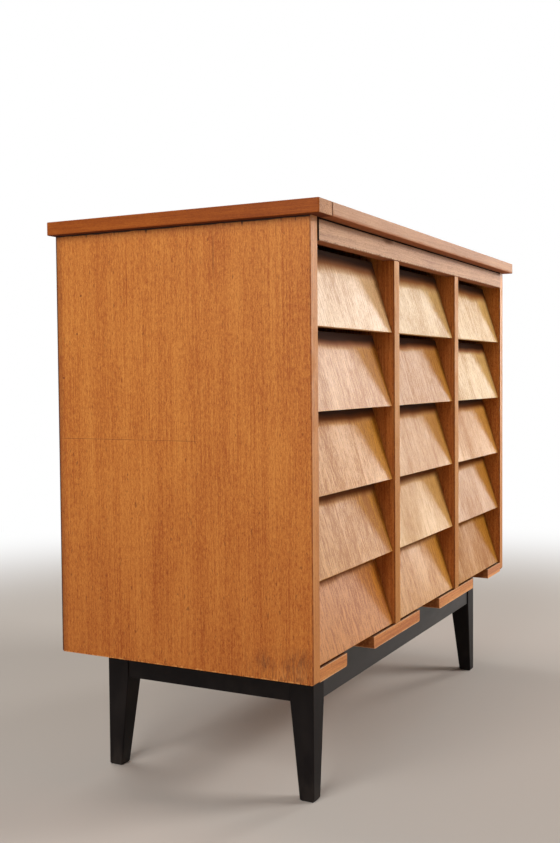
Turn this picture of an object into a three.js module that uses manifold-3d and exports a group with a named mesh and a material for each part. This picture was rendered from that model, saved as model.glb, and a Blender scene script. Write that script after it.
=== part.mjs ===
// Chest of fifteen drawers with slanted fronts, on a black wooden base.
// Lengths are in millimetres. +X is the viewer's right, -Y is the front and +Z is up.
// The origin is on the floor, under the middle of the top board.

import * as THREE from 'three';
import { mergeVertices } from 'three/addons/utils/BufferGeometryUtils.js';
import Module from 'manifold-3d';

// Carcass
const carcassWidth = 1044;
const carcassDepth = 472;
const carcassHeight = 700;
const sidePanelThickness = 22;
const dividerThickness = 24;
const bottomBoardThickness = 21;
const leftFootRadius = 3;
const rightFootRadius = 9;
const rearFootRadius = 4;

// Back panel, held in rebates of the side panels
const backPanelThickness = 5;
const backPanelInset = 1.5;
const backRebateWidth = 9;
const backPanelRise = 2;

// Rail under the top board
const topRailHeight = 35;
const topRailThickness = 21;
const topRailLeftGap = 2;

// Top board, its end strip and its front lipping
const topThickness = 22;
const topSideOverhang = 14;
const topFrontOverhang = 20;
const topRearOverhang = 8;
const endStripWidth = 49;
const frontLippingDepth = 30;
const topCornerRadius = 3;

// Finger notches in the front edge of the bottom board
const notchWidth = 114;
const notchDepth = 40;
const notchCornerRadius = 4;

// Grid of drawers
const columnCount = 3;
const rowCount = 5;
const lowestFrontGap = 1.5;
const highestFrontGap = 1.5;
const rowGap = 4;

// Slanted drawer fronts
const frontThickness = 16;
const frontLean = THREE.MathUtils.degToRad(16.7);
const frontSetback = 4.5;
const frontSideGap = 1.2;

// Drawer boxes
const boxSideGap = 1.2;
const boxSideThickness = 12;
const boxBackThickness = 11;
const boxRearGap = 12;
const gripHeight = 20;
const boxTopDrop = 13;
const drawerBottomThickness = 4;
const drawerBottomRise = 8;
const drawerBottomGrooveDepth = 5;

// Wooden runners, which are glued to the walls and run in grooves of the drawer sides
const runnerProjection = 7;
const runnerHeight = 14;
const runnerRise = 39;
const runnerTipGap = 0.6;
const runnerTopGap = 0.3;
const runnerUnderGap = 1;
const runnerStopGap = 0.5;
const runnerRearGap = 10;

// Base
const baseHeight = 219;
const baseSideInset = 89;
const baseFrontInset = 44;
const baseRearInset = 28;
const legWidth = 42;
const legFootWidth = 26;
const legFootArris = 2;
const legEdgeArris = 1.5;
const apronHeight = 60;
const apronThickness = 20;
const apronSetback = 2.5;
const cornerBlockReach = 60;

// Fits and cuts
const jointGap = 0.3;
const cutOverrun = 5;
const mergeTolerance = 0.0001;
const arcSteps = 6;

// Places that follow from the sizes
const topWidth = carcassWidth + 2 * topSideOverhang;
const topDepth = carcassDepth + topFrontOverhang + topRearOverhang;
const frontY = -topDepth / 2 + topFrontOverhang;
const rearY = frontY + carcassDepth;
const carcassTopZ = baseHeight + carcassHeight;
const sideFaceX = carcassWidth / 2;
const innerFaceX = sideFaceX - sidePanelThickness;
const backPanelY = rearY - backPanelInset - backPanelThickness;
const bottomTopZ = baseHeight + bottomBoardThickness;
const railZ = carcassTopZ - topRailHeight;
const wallSpan = 2 * innerFaceX - (columnCount - 1) * dividerThickness;
const columnWidth = wallSpan / columnCount;
const frontStackHeight = railZ - bottomTopZ - lowestFrontGap - highestFrontGap;
const rowPitch = (frontStackHeight + rowGap) / rowCount;
const frontHeight = rowPitch - rowGap;
const boxWidth = columnWidth - 2 * boxSideGap;
const boxRearY = backPanelY - frontY - boxRearGap;
const boxTopZ = frontHeight - boxTopDrop;
const drawerBottomZ = gripHeight + drawerBottomRise;
const drawerBottomTopZ = drawerBottomZ + drawerBottomThickness;
const runnerZ = gripHeight + runnerRise;
const runnerTopZ = runnerZ + runnerHeight;
const runnerRearY = backPanelY - frontY - runnerRearGap;
const apronZ = baseHeight - apronHeight;
const baseX = sideFaceX - baseSideInset;
const baseFrontY = frontY + baseFrontInset;
const baseRearY = rearY - baseRearInset;

function columnCentreX(column) {
  return -innerFaceX + columnWidth / 2 + column * (columnWidth + dividerThickness);
}

// Height of the lower edge of a row's fronts. Row 0 is the top row.
function rowZ(row) {
  return bottomTopZ + lowestFrontGap + (rowCount - 1 - row) * rowPitch;
}

// Depth of a front's rear face behind the carcass's front, at a height above its lower edge.
function frontRearFaceY(height) {
  return frontSetback + frontThickness / Math.cos(frontLean) + height * Math.tan(frontLean);
}

// Materials
function wood(color, roughness) {
  return new THREE.MeshStandardMaterial({ color, roughness, metalness: 0 });
}

const sideVeneer = () => wood(0xc8803e, 0.45);
const topWood = () => wood(0xb86a3a, 0.4);
const paleEdgeWood = () => wood(0xcfa583, 0.5);
const frontVeneer = () => wood(0xd8b084, 0.45);
const drawerWood = () => wood(0xcdb083, 0.6);
const plywood = () => wood(0xc4a273, 0.7);
const blackLacquer = () => wood(0x1e1b1a, 0.35);

// Joining and cutting
const wasm = await Module();
wasm.setup();

function solidOf(geometry) {
  geometry.deleteAttribute('normal');
  geometry.deleteAttribute('uv');
  const merged = mergeVertices(geometry, mergeTolerance);
  const mesh = new wasm.Mesh({
    numProp: merged.attributes.position.itemSize,
    vertProperties: new Float32Array(merged.attributes.position.array),
    triVerts: new Uint32Array(merged.index.array),
  });
  return new wasm.Manifold(mesh);
}

function geometryOf(solid) {
  const mesh = solid.getMesh();
  const geometry = new THREE.BufferGeometry();
  geometry.setAttribute('position', new THREE.BufferAttribute(mesh.vertProperties, mesh.numProp));
  geometry.setIndex(new THREE.BufferAttribute(mesh.triVerts, 1));
  geometry.computeVertexNormals();
  return geometry;
}

// Outlines and prisms. A corner is [first coordinate, second coordinate, radius].
function outline(corners) {
  const shape = new THREE.Shape();
  const places = corners.map(([first, second]) => new THREE.Vector2(first, second));
  corners.forEach(([, , radius = 0], index) => {
    const here = places[index];
    const before = places.at(index - 1).clone().sub(here).normalize();
    const after = places[(index + 1) % places.length].clone().sub(here).normalize();
    const halfAngle = Math.acos(before.dot(after)) / 2;
    const reach = radius / Math.tan(halfAngle);
    const start = before.clone().multiplyScalar(reach).add(here);
    if (index === 0) shape.moveTo(start.x, start.y);
    else shape.lineTo(start.x, start.y);
    if (radius > 0) {
      const end = after.clone().multiplyScalar(reach).add(here);
      const centre = before.clone().add(after).normalize();
      centre.multiplyScalar(radius / Math.sin(halfAngle)).add(here);
      const clockwise = before.cross(after) > 0;
      const startAngle = start.sub(centre).angle();
      const endAngle = end.sub(centre).angle();
      shape.absarc(centre.x, centre.y, radius, startAngle, endAngle, clockwise);
    }
  });
  shape.closePath();
  return shape;
}

function prism(shape, depth) {
  return new THREE.ExtrudeGeometry(shape, { depth, bevelEnabled: false, curveSegments: arcSteps });
}

// A prism whose outline is in Y and Z.
function prismAlongX(shape, lowX, highX) {
  const axes = new THREE.Matrix4().makeBasis(
    new THREE.Vector3(0, 1, 0),
    new THREE.Vector3(0, 0, 1),
    new THREE.Vector3(1, 0, 0),
  );
  return prism(shape, highX - lowX).applyMatrix4(axes).translate(lowX, 0, 0);
}

// A prism whose outline is in X and Z.
function prismAlongY(shape, lowY, highY) {
  return prism(shape, highY - lowY).rotateX(Math.PI / 2).translate(0, highY, 0);
}

// A prism whose outline is in X and Y.
function prismAlongZ(shape, lowZ, highZ) {
  return prism(shape, highZ - lowZ).translate(0, 0, lowZ);
}

function block([lowX, highX], [lowY, highY], [lowZ, highZ]) {
  const box = new THREE.BoxGeometry(highX - lowX, highY - lowY, highZ - lowZ);
  return box.translate((lowX + highX) / 2, (lowY + highY) / 2, (lowZ + highZ) / 2);
}

// The two walls of a drawer column each carry one runner for each row. It is part of the wall
// that it is glued to. Its front end is parallel to the drawer front, which it stops.
function withRunners(wall, wallX, direction) {
  let solid = wall;
  const ends = [wallX - direction * cutOverrun, wallX + direction * runnerProjection];
  for (let row = 0; row < rowCount; row += 1) {
    const lowZ = rowZ(row) + runnerZ;
    const highZ = rowZ(row) + runnerTopZ;
    const shape = outline([
      [frontY + frontRearFaceY(runnerZ) + runnerStopGap, lowZ],
      [frontY + runnerRearY, lowZ],
      [frontY + runnerRearY, highZ],
      [frontY + frontRearFaceY(runnerTopZ) + runnerStopGap, highZ],
    ]);
    solid = solid.add(solidOf(prismAlongX(shape, Math.min(...ends), Math.max(...ends))));
  }
  return solid;
}

// Side panels. direction is -1 for the left panel and 1 for the right one.
function sidePanel(direction, frontRadius) {
  const ends = [direction * innerFaceX, direction * sideFaceX];
  const shape = outline([
    [frontY, baseHeight, frontRadius],
    [rearY, baseHeight, rearFootRadius],
    [rearY, carcassTopZ],
    [frontY, carcassTopZ],
  ]);
  const board = solidOf(prismAlongX(shape, Math.min(...ends), Math.max(...ends)));
  const rebateEnds = [
    direction * (innerFaceX - cutOverrun),
    direction * (innerFaceX + backRebateWidth + jointGap),
  ];
  const rebate = block(
    [Math.min(...rebateEnds), Math.max(...rebateEnds)],
    [backPanelY - jointGap, rearY + cutOverrun],
    [baseHeight - cutOverrun, carcassTopZ + cutOverrun],
  );
  const rebated = board.subtract(solidOf(rebate));
  return geometryOf(withRunners(rebated, direction * innerFaceX, -direction));
}

// Dividers stand on the bottom board and are cut out round the top rail.
function divider(index) {
  const lowX = columnCentreX(index) + columnWidth / 2;
  const highX = lowX + dividerThickness;
  const shape = outline([
    [frontY, bottomTopZ],
    [backPanelY - jointGap, bottomTopZ],
    [backPanelY - jointGap, carcassTopZ],
    [frontY + topRailThickness + jointGap, carcassTopZ],
    [frontY + topRailThickness + jointGap, railZ - jointGap],
    [frontY, railZ - jointGap],
  ]);
  const board = solidOf(prismAlongX(shape, lowX, highX));
  return geometryOf(withRunners(withRunners(board, lowX, -1), highX, 1));
}

// Bottom board, with a notch for the fingers under each column.
function bottomBoard() {
  let solid = solidOf(block(
    [-innerFaceX, innerFaceX],
    [frontY, backPanelY - jointGap],
    [baseHeight, bottomTopZ],
  ));
  for (let column = 0; column < columnCount; column += 1) {
    const left = columnCentreX(column) - notchWidth / 2;
    const right = left + notchWidth;
    const shape = outline([
      [left, baseHeight, notchCornerRadius],
      [left - notchWidth / 2, baseHeight],
      [left - notchWidth / 2, baseHeight - cutOverrun],
      [right + notchWidth / 2, baseHeight - cutOverrun],
      [right + notchWidth / 2, baseHeight],
      [right, baseHeight, notchCornerRadius],
      [right, bottomTopZ + cutOverrun],
      [left, bottomTopZ + cutOverrun],
    ]);
    solid = solid.subtract(solidOf(prismAlongY(shape, frontY - cutOverrun, frontY + notchDepth)));
  }
  return geometryOf(solid);
}

function backPanel() {
  const reach = innerFaceX + backRebateWidth;
  return block(
    [-reach, reach],
    [backPanelY, backPanelY + backPanelThickness],
    [baseHeight + backPanelRise, carcassTopZ],
  );
}

function topRail() {
  return block(
    [-innerFaceX + topRailLeftGap, innerFaceX],
    [frontY, frontY + topRailThickness],
    [railZ, carcassTopZ],
  );
}

// Top: a strip across the left end, a lipping along the front, and the board behind them.
const endStripX = -topWidth / 2 + endStripWidth;
const lippingY = -topDepth / 2 + frontLippingDepth;

function topPiece(corners) {
  return prismAlongZ(outline(corners), carcassTopZ, carcassTopZ + topThickness);
}

function topEndStrip() {
  return topPiece([
    [-topWidth / 2, -topDepth / 2, topCornerRadius],
    [endStripX, -topDepth / 2],
    [endStripX, topDepth / 2],
    [-topWidth / 2, topDepth / 2, topCornerRadius],
  ]);
}

function topFrontLipping() {
  return topPiece([
    [endStripX + jointGap, -topDepth / 2],
    [topWidth / 2, -topDepth / 2, topCornerRadius],
    [topWidth / 2, lippingY],
    [endStripX + jointGap, lippingY],
  ]);
}

function topBoard() {
  return topPiece([
    [endStripX + jointGap, lippingY + jointGap],
    [topWidth / 2, lippingY + jointGap],
    [topWidth / 2, topDepth / 2, topCornerRadius],
    [endStripX + jointGap, topDepth / 2],
  ]);
}

// Base: aprons and corner blocks glued up into one frame, with a leg in each outer corner.
function baseFrame() {
  const wallX = baseX - apronSetback;
  const wallY = [baseFrontY + apronSetback, baseRearY - apronSetback];
  let solid = solidOf(block([-wallX, wallX], wallY, [apronZ, baseHeight]));
  const holeX = wallX - apronThickness;
  const holeFrontY = wallY[0] + apronThickness;
  const holeRearY = wallY[1] - apronThickness;
  const hole = outline([
    [-holeX + cornerBlockReach, holeFrontY],
    [holeX - cornerBlockReach, holeFrontY],
    [holeX, holeFrontY + cornerBlockReach],
    [holeX, holeRearY - cornerBlockReach],
    [holeX - cornerBlockReach, holeRearY],
    [-holeX + cornerBlockReach, holeRearY],
    [-holeX, holeRearY - cornerBlockReach],
    [-holeX, holeFrontY + cornerBlockReach],
  ]);
  const overrunZ = [apronZ - cutOverrun, baseHeight + cutOverrun];
  solid = solid.subtract(solidOf(prismAlongZ(hole, ...overrunZ)));
  const pocket = legWidth + jointGap;
  for (const [lowX, highX] of [[-baseX, -baseX + pocket], [baseX - pocket, baseX]]) {
    for (const [lowY, highY] of [[baseFrontY, baseFrontY + pocket], [baseRearY - pocket, baseRearY]]) {
      solid = solid.subtract(solidOf(block([lowX, highX], [lowY, highY], overrunZ)));
    }
  }
  return geometryOf(solid);
}

// One level of a leg: a square with its corners taken off, drawn in from the leg's outer corner.
function legSection(sideX, sideY, width, inset, height) {
  const outerX = sideX * baseX;
  const outerY = sideY > 0 ? baseRearY : baseFrontY;
  const spanX = [outerX - sideX * inset, outerX - sideX * (width - inset)];
  const spanY = [outerY - sideY * inset, outerY - sideY * (width - inset)];
  const lowX = Math.min(...spanX);
  const highX = Math.max(...spanX);
  const lowY = Math.min(...spanY);
  const highY = Math.max(...spanY);
  return [
    [lowX + legEdgeArris, lowY],
    [highX - legEdgeArris, lowY],
    [highX, lowY + legEdgeArris],
    [highX, highY - legEdgeArris],
    [highX - legEdgeArris, highY],
    [lowX + legEdgeArris, highY],
    [lowX, highY - legEdgeArris],
    [lowX, lowY + legEdgeArris],
  ].map(([x, y]) => [x, y, height]);
}

// A closed body through sections of equal counts, from the lowest to the highest.
function loft(sections) {
  const count = sections[0].length;
  const faces = [];
  for (let corner = 1; corner < count - 1; corner += 1) {
    const top = (sections.length - 1) * count;
    faces.push(0, corner + 1, corner);
    faces.push(top, top + corner, top + corner + 1);
  }
  for (let level = 0; level < sections.length - 1; level += 1) {
    for (let corner = 0; corner < count; corner += 1) {
      const here = level * count + corner;
      const next = level * count + (corner + 1) % count;
      faces.push(here, next, next + count);
      faces.push(here, next + count, here + count);
    }
  }
  const geometry = new THREE.BufferGeometry();
  const places = sections.flat(2);
  geometry.setAttribute('position', new THREE.Float32BufferAttribute(places, sections[0][0].length));
  geometry.setIndex(faces);
  geometry.computeVertexNormals();
  return geometry;
}

// Legs are square beside the aprons and taper below them on their two inner faces.
function leg(sideX, sideY) {
  return loft([
    legSection(sideX, sideY, legFootWidth, legFootArris, 0),
    legSection(sideX, sideY, legFootWidth, 0, legFootArris),
    legSection(sideX, sideY, legWidth, 0, apronZ),
    legSection(sideX, sideY, legWidth, 0, baseHeight),
  ]);
}

// Drawer pieces. X is from the drawer's middle, Y from the carcass's front and Z from the
// lower edge of the drawer's front.
const boxInnerX = boxWidth / 2 - boxSideThickness;
const bottomGrooveX = boxInnerX + drawerBottomGrooveDepth;
const bottomGrooveY = frontRearFaceY(drawerBottomZ) - drawerBottomGrooveDepth;

function drawerBottomGroove() {
  const reach = bottomGrooveX + jointGap;
  return solidOf(block(
    [-reach, reach],
    [bottomGrooveY, boxRearY + cutOverrun],
    [drawerBottomZ - jointGap, drawerBottomTopZ + jointGap],
  ));
}

function drawerFront() {
  const shape = outline([
    [frontSetback, 0],
    [frontRearFaceY(0), 0],
    [frontRearFaceY(frontHeight), frontHeight],
    [frontSetback + frontHeight * Math.tan(frontLean), frontHeight],
  ]);
  const reach = columnWidth / 2 - frontSideGap;
  const board = solidOf(prismAlongX(shape, -reach, reach));
  return geometryOf(board.subtract(drawerBottomGroove()));
}

// Two sides and a back. The back stops above the bottom, which is slid in below it.
function drawerBox() {
  const shape = outline([
    [frontRearFaceY(gripHeight) + jointGap, gripHeight],
    [boxRearY, gripHeight],
    [boxRearY, boxTopZ],
    [frontRearFaceY(boxTopZ) + jointGap, boxTopZ],
  ]);
  let solid = solidOf(prismAlongX(shape, -boxWidth / 2, boxWidth / 2));
  const inside = block(
    [-boxInnerX, boxInnerX],
    [0, boxRearY - boxBackThickness],
    [gripHeight - cutOverrun, boxTopZ + cutOverrun],
  );
  const underBack = block(
    [-boxInnerX, boxInnerX],
    [0, boxRearY + cutOverrun],
    [gripHeight - cutOverrun, drawerBottomTopZ + jointGap],
  );
  solid = solid.subtract(solidOf(inside)).subtract(solidOf(underBack));
  solid = solid.subtract(drawerBottomGroove());
  const grooveX = boxWidth / 2 + boxSideGap - runnerProjection - runnerTipGap;
  for (const [lowX, highX] of [[-boxWidth / 2 - cutOverrun, -grooveX], [grooveX, boxWidth / 2 + cutOverrun]]) {
    const groove = block(
      [lowX, highX],
      [0, boxRearY + cutOverrun],
      [runnerZ - runnerUnderGap, runnerTopZ + runnerTopGap],
    );
    solid = solid.subtract(solidOf(groove));
  }
  return geometryOf(solid);
}

function drawerBottom() {
  return block(
    [-bottomGrooveX, bottomGrooveX],
    [bottomGrooveY + jointGap, boxRearY],
    [drawerBottomZ, drawerBottomTopZ],
  );
}

// Assembly
function piece(name, geometry, material) {
  const mesh = new THREE.Mesh(geometry, material);
  mesh.name = name;
  return mesh;
}

const chest = new THREE.Group();

chest.add(piece('side_panel_left', sidePanel(-1, leftFootRadius), sideVeneer()));
chest.add(piece('side_panel_right', sidePanel(1, rightFootRadius), sideVeneer()));
chest.add(piece('divider_left', divider(0), paleEdgeWood()));
chest.add(piece('divider_right', divider(1), paleEdgeWood()));
chest.add(piece('bottom_board', bottomBoard(), paleEdgeWood()));
chest.add(piece('back_panel', backPanel(), plywood()));
chest.add(piece('top_rail', topRail(), paleEdgeWood()));
chest.add(piece('top_board', topBoard(), topWood()));
chest.add(piece('top_end_strip', topEndStrip(), topWood()));
chest.add(piece('top_front_lipping', topFrontLipping(), paleEdgeWood()));
chest.add(piece('base_frame', baseFrame(), blackLacquer()));

for (const [sideY, endName] of [[-1, 'front'], [1, 'rear']]) {
  for (const [sideX, sideName] of [[-1, 'left'], [1, 'right']]) {
    chest.add(piece(`leg_${endName}_${sideName}`, leg(sideX, sideY), blackLacquer()));
  }
}

for (let row = 0; row < rowCount; row += 1) {
  for (let column = 0; column < columnCount; column += 1) {
    const name = `drawer_r${row + 1}c${column + 1}`;
    const drawer = new THREE.Group();
    drawer.add(piece(`${name}_front`, drawerFront(), frontVeneer()));
    drawer.add(piece(`${name}_box`, drawerBox(), drawerWood()));
    drawer.add(piece(`${name}_bottom`, drawerBottom(), plywood()));
    drawer.position.set(columnCentreX(column), frontY, rowZ(row));
    chest.add(drawer);
  }
}

export default chest;
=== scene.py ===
# Looks of the chest of fifteen drawers with slanted fronts. Lengths are in metres.
# +X is the viewer's right, -Y is the front and +Z is up. The origin is on the floor.

import math
from dataclasses import dataclass, replace
from functools import cached_property

import bmesh
import bpy
from mathutils import Matrix, Vector, noise


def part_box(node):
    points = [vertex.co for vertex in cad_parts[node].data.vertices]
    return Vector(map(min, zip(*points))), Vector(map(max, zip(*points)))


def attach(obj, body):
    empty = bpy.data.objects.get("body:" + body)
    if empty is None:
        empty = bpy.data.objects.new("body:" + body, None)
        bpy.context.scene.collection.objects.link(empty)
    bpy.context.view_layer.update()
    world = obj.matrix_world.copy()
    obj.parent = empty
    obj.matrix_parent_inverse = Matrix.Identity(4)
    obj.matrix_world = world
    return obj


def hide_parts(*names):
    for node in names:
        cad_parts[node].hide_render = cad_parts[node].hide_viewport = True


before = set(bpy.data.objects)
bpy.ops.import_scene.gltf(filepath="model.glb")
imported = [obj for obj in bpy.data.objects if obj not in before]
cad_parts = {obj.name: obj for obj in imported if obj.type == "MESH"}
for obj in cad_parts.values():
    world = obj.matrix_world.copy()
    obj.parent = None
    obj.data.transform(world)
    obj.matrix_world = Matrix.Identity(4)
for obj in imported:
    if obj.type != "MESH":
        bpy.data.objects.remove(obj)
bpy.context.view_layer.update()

# Places that the frame gives
panel_low, panel_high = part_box("side_panel_left")
front_y = panel_low.y
rear_y = panel_high.y
carcass_low_z = panel_low.z
carcass_top_z = panel_high.z

# Sizes that the frame doesn't give
FRONT_LEAN = math.radians(16.7)
MILLIMETRE = 0.001
BUMP_DEPTH = MILLIMETRE / 10
FINE_BUMP_DEPTH = MILLIMETRE / 20

# The sRGB curve, which is straight at its dark end
EIGHT_BITS = 255
STRAIGHT_END = 0.04045
STRAIGHT_SLOPE = 12.92
CURVE_SHIFT = 0.055
CURVE_POWER = 2.4


def linear(value):
    """Linear light of an eight-bit value that a screen shows."""
    share = value / EIGHT_BITS
    if share <= STRAIGHT_END:
        return share / STRAIGHT_SLOPE
    return ((share + CURVE_SHIFT) / (1 + CURVE_SHIFT)) ** CURVE_POWER


def tint(red, green, blue):
    """A colour, given as the values that a screen shows."""
    return (linear(red), linear(green), linear(blue), 1)


@dataclass(frozen=True)
class Surface:
    """Colour, roughness and height of a material, each a socket of its graph."""
    colour: bpy.types.NodeSocket
    roughness: bpy.types.NodeSocket
    height: bpy.types.NodeSocket


class Graph:
    """The nodes of one material."""

    def __init__(self, name):
        self.material = bpy.data.materials.new(name)
        self.material.use_nodes = True
        self.tree = self.material.node_tree
        self.tree.nodes.clear()
        self.places = self.node("ShaderNodeTexCoord")

    def node(self, kind, inputs=None, **settings):
        """A new node, with a socket or a plain value for each input named."""
        made = self.tree.nodes.new(kind)
        for key, value in settings.items():
            setattr(made, key, value)
        for socket, value in (inputs or {}).items():
            self.feed(made.inputs[socket], value)
        return made

    def feed(self, socket, value):
        if isinstance(value, bpy.types.NodeSocket):
            self.tree.links.new(value, socket)
        else:
            socket.default_value = value

    def math(self, operation, first, second=0.0):
        return self.node("ShaderNodeMath", {0: first, 1: second}, operation=operation).outputs[0]

    def add_times(self, value, factor, addend):
        """The value times the factor, plus the addend."""
        inputs = {0: value, 1: factor, 2: addend}
        return self.node("ShaderNodeMath", inputs, operation="MULTIPLY_ADD").outputs[0]

    def squares(self, first, second):
        """The sum of the squares of two values."""
        return self.math("ADD", self.math("POWER", first, 2.0), self.math("POWER", second, 2.0))

    def ramp(self, value, low, high, bottom=0.0, top=1.0):
        """Runs from bottom, at low, to top, at high, and stays level outside."""
        inputs = {"Value": value, "From Min": low, "From Max": high, "To Min": bottom, "To Max": top}
        return self.node("ShaderNodeMapRange", inputs).outputs[0]

    def between(self, value, low, high, soft):
        """1 from low to high and 0 outside, with soft ends."""
        rising = self.ramp(value, low - soft, low + soft)
        falling = self.ramp(value, high - soft, high + soft, 1.0, 0.0)
        return self.math("MULTIPLY", rising, falling)

    def mix(self, factor, first, second, blend="MIX"):
        """Mixes two colours, which are sockets 6 and 7 of their node."""
        inputs = {0: factor, 6: first, 7: second}
        return self.node("ShaderNodeMix", inputs, data_type="RGBA", blend_type=blend).outputs[2]

    def tones(self, value, stops):
        """Colour that runs through the given stops, each a position and its colour."""
        made = self.node("ShaderNodeValToRGB", {0: value})
        elements = made.color_ramp.elements
        while len(elements) < len(stops):
            elements.new(0.5)
        for element, (position, colour) in zip(elements, stops):
            element.position = position
            element.color = colour
        return made.outputs[0]

    def noise(self, place, scale, detail=2.0, rough=0.5):
        """Noise with scale as the counts of its features in a metre, along each axis of the place."""
        stretched = self.node("ShaderNodeVectorMath", {0: place, 1: scale}, operation="MULTIPLY")
        inputs = {"Vector": stretched.outputs[0], "Scale": 1.0, "Detail": detail, "Roughness": rough}
        return self.node("ShaderNodeTexNoise", inputs).outputs[0]

    def own_noise(self, scale, detail=2.0, rough=0.5):
        """Noise at the piece's own coordinates, whatever way its grain runs."""
        return self.noise(self.places.outputs["Object"], scale, detail, rough)

    @cached_property
    def axes(self):
        """X, Y and Z of a point."""
        return self.node("ShaderNodeSeparateXYZ", {0: self.places.outputs["Object"]}).outputs

    @cached_property
    def normals(self):
        """X, Y and Z of the way that the surface faces."""
        return self.node("ShaderNodeSeparateXYZ", {0: self.places.outputs["Normal"]}).outputs

    def past(self, axis, place):
        """How far a point lies beyond a place on the axis X, Y or Z."""
        return self.math("SUBTRACT", self.axes[axis], place)

    def short_of(self, axis, place):
        """How far a point lies before a place on the axis X, Y or Z."""
        return self.math("SUBTRACT", place, self.axes[axis])

    def finish(self, surface, specular, depth=BUMP_DEPTH):
        bump = self.node("ShaderNodeBump", {"Strength": 1.0, "Distance": depth, "Height": surface.height})
        inputs = {
            "Base Color": surface.colour,
            "Roughness": surface.roughness,
            "Normal": bump.outputs[0],
            "Specular IOR Level": specular,
        }
        shader = self.node("ShaderNodeBsdfPrincipled", inputs)
        self.node("ShaderNodeOutputMaterial", {0: shader.outputs[0]})
        return self.material


# Woods
@dataclass(frozen=True)
class Wood:
    """Tones of a wood, how strongly each scale of its figure shows, two of the scales, and its gloss."""
    pale: tuple
    middle: tuple
    dark: tuple
    pore: tuple
    clouds: float = 0.5
    bands: float = 0.4
    stripes: float = 0.25
    stripe_count: float = 2.6
    threads: float = 0.6
    hairs: float = 0.5
    flecks: float = 0.5
    fleck_scale: tuple = (460, 460, 190)
    dust: float = 0.5
    pores: float = 0.5
    roughness: float = 0.45
    specular: float = 0.15


SIDE_VENEER = Wood(
    pale=tint(207, 133, 60),
    middle=tint(190, 113, 46),
    dark=tint(163, 84, 30),
    pore=tint(104, 48, 18),
    clouds=0.4,
    stripes=0.15,
    flecks=0.95,
    fleck_scale=(480, 480, 150),
    dust=0.85,
    pores=0.3,
    roughness=0.5,
    specular=0.2,
)
WALL_VENEER = Wood(
    pale=tint(204, 128, 62),
    middle=tint(186, 109, 48),
    dark=tint(158, 84, 34),
    pore=tint(100, 48, 20),
    threads=0.9,
    specular=0.2,
)
EDGE_WOOD = Wood(
    pale=tint(218, 150, 82),
    middle=tint(203, 132, 64),
    dark=tint(178, 106, 50),
    pore=tint(124, 68, 34),
    flecks=0.4,
    pores=0.4,
    roughness=0.48,
    specular=0.28,
)
DIVIDER_EDGE = replace(
    EDGE_WOOD,
    pale=tint(211, 150, 84),
    middle=tint(196, 132, 68),
    dark=tint(172, 106, 52),
    specular=0.12,
)
BOTTOM_EDGE_WOOD = replace(
    EDGE_WOOD,
    pale=tint(226, 150, 84),
    middle=tint(206, 131, 64),
    dark=tint(180, 102, 46),
    bands=0.9,
    stripes=1.3,
)
RAIL_WOOD = Wood(
    pale=tint(204, 154, 108),
    middle=tint(186, 134, 90),
    dark=tint(158, 106, 68),
    pore=tint(108, 68, 42),
    pores=0.35,
    roughness=0.56,
    specular=0.3,
)
LIPPING_WOOD = Wood(
    pale=tint(199, 147, 103),
    middle=tint(183, 129, 88),
    dark=tint(159, 107, 70),
    pore=tint(124, 74, 44),
    flecks=0.4,
    pores=0.3,
    roughness=0.56,
    specular=0.22,
)
TOP_WOOD = Wood(
    pale=tint(176, 94, 34),
    middle=tint(158, 78, 24),
    dark=tint(136, 62, 18),
    pore=tint(90, 40, 16),
    stripes=0.4,
    flecks=0.3,
    pores=0.2,
    specular=0.1,
)
STRIP_WOOD = replace(
    TOP_WOOD,
    pale=tint(168, 91, 32),
    middle=tint(150, 75, 23),
    dark=tint(128, 59, 17),
)
END_GRAIN_WOOD = Wood(
    pale=tint(206, 150, 100),
    middle=tint(182, 124, 76),
    dark=tint(142, 86, 46),
    pore=tint(88, 46, 24),
    roughness=0.6,
    specular=0.25,
)
CORE_WOOD = Wood(
    pale=tint(214, 178, 128),
    middle=tint(194, 156, 106),
    dark=tint(158, 118, 76),
    pore=tint(110, 78, 48),
    stripes=1.2,
    flecks=0.4,
    roughness=0.7,
)
DRAWER_WOOD = Wood(
    pale=tint(222, 190, 144),
    middle=tint(206, 172, 124),
    dark=tint(182, 144, 98),
    pore=tint(140, 104, 68),
    pores=0.3,
    roughness=0.6,
)
PLYWOOD = Wood(
    pale=tint(208, 172, 124),
    middle=tint(192, 154, 106),
    dark=tint(166, 126, 84),
    pore=tint(128, 92, 58),
    clouds=0.45,
    pores=0.3,
    roughness=0.66,
)

QUARTER = math.pi / 2
GRAIN_TURNS = {
    "x": (0, -QUARTER, 0),
    "y": (QUARTER, 0, 0),
    "z": (0, 0, 0),
    "slope": (FRONT_LEAN, 0, 0),
}
SEED_STEP = Vector((3.71, 1.93, 5.27))


def grain_place(graph, grain, seed):
    """Coordinates whose third axis runs along the grain."""
    inputs = {
        "Vector": graph.places.outputs["Object"],
        "Location": SEED_STEP * seed,
        "Rotation": GRAIN_TURNS[grain],
    }
    return graph.node("ShaderNodeMapping", inputs).outputs[0]


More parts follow.
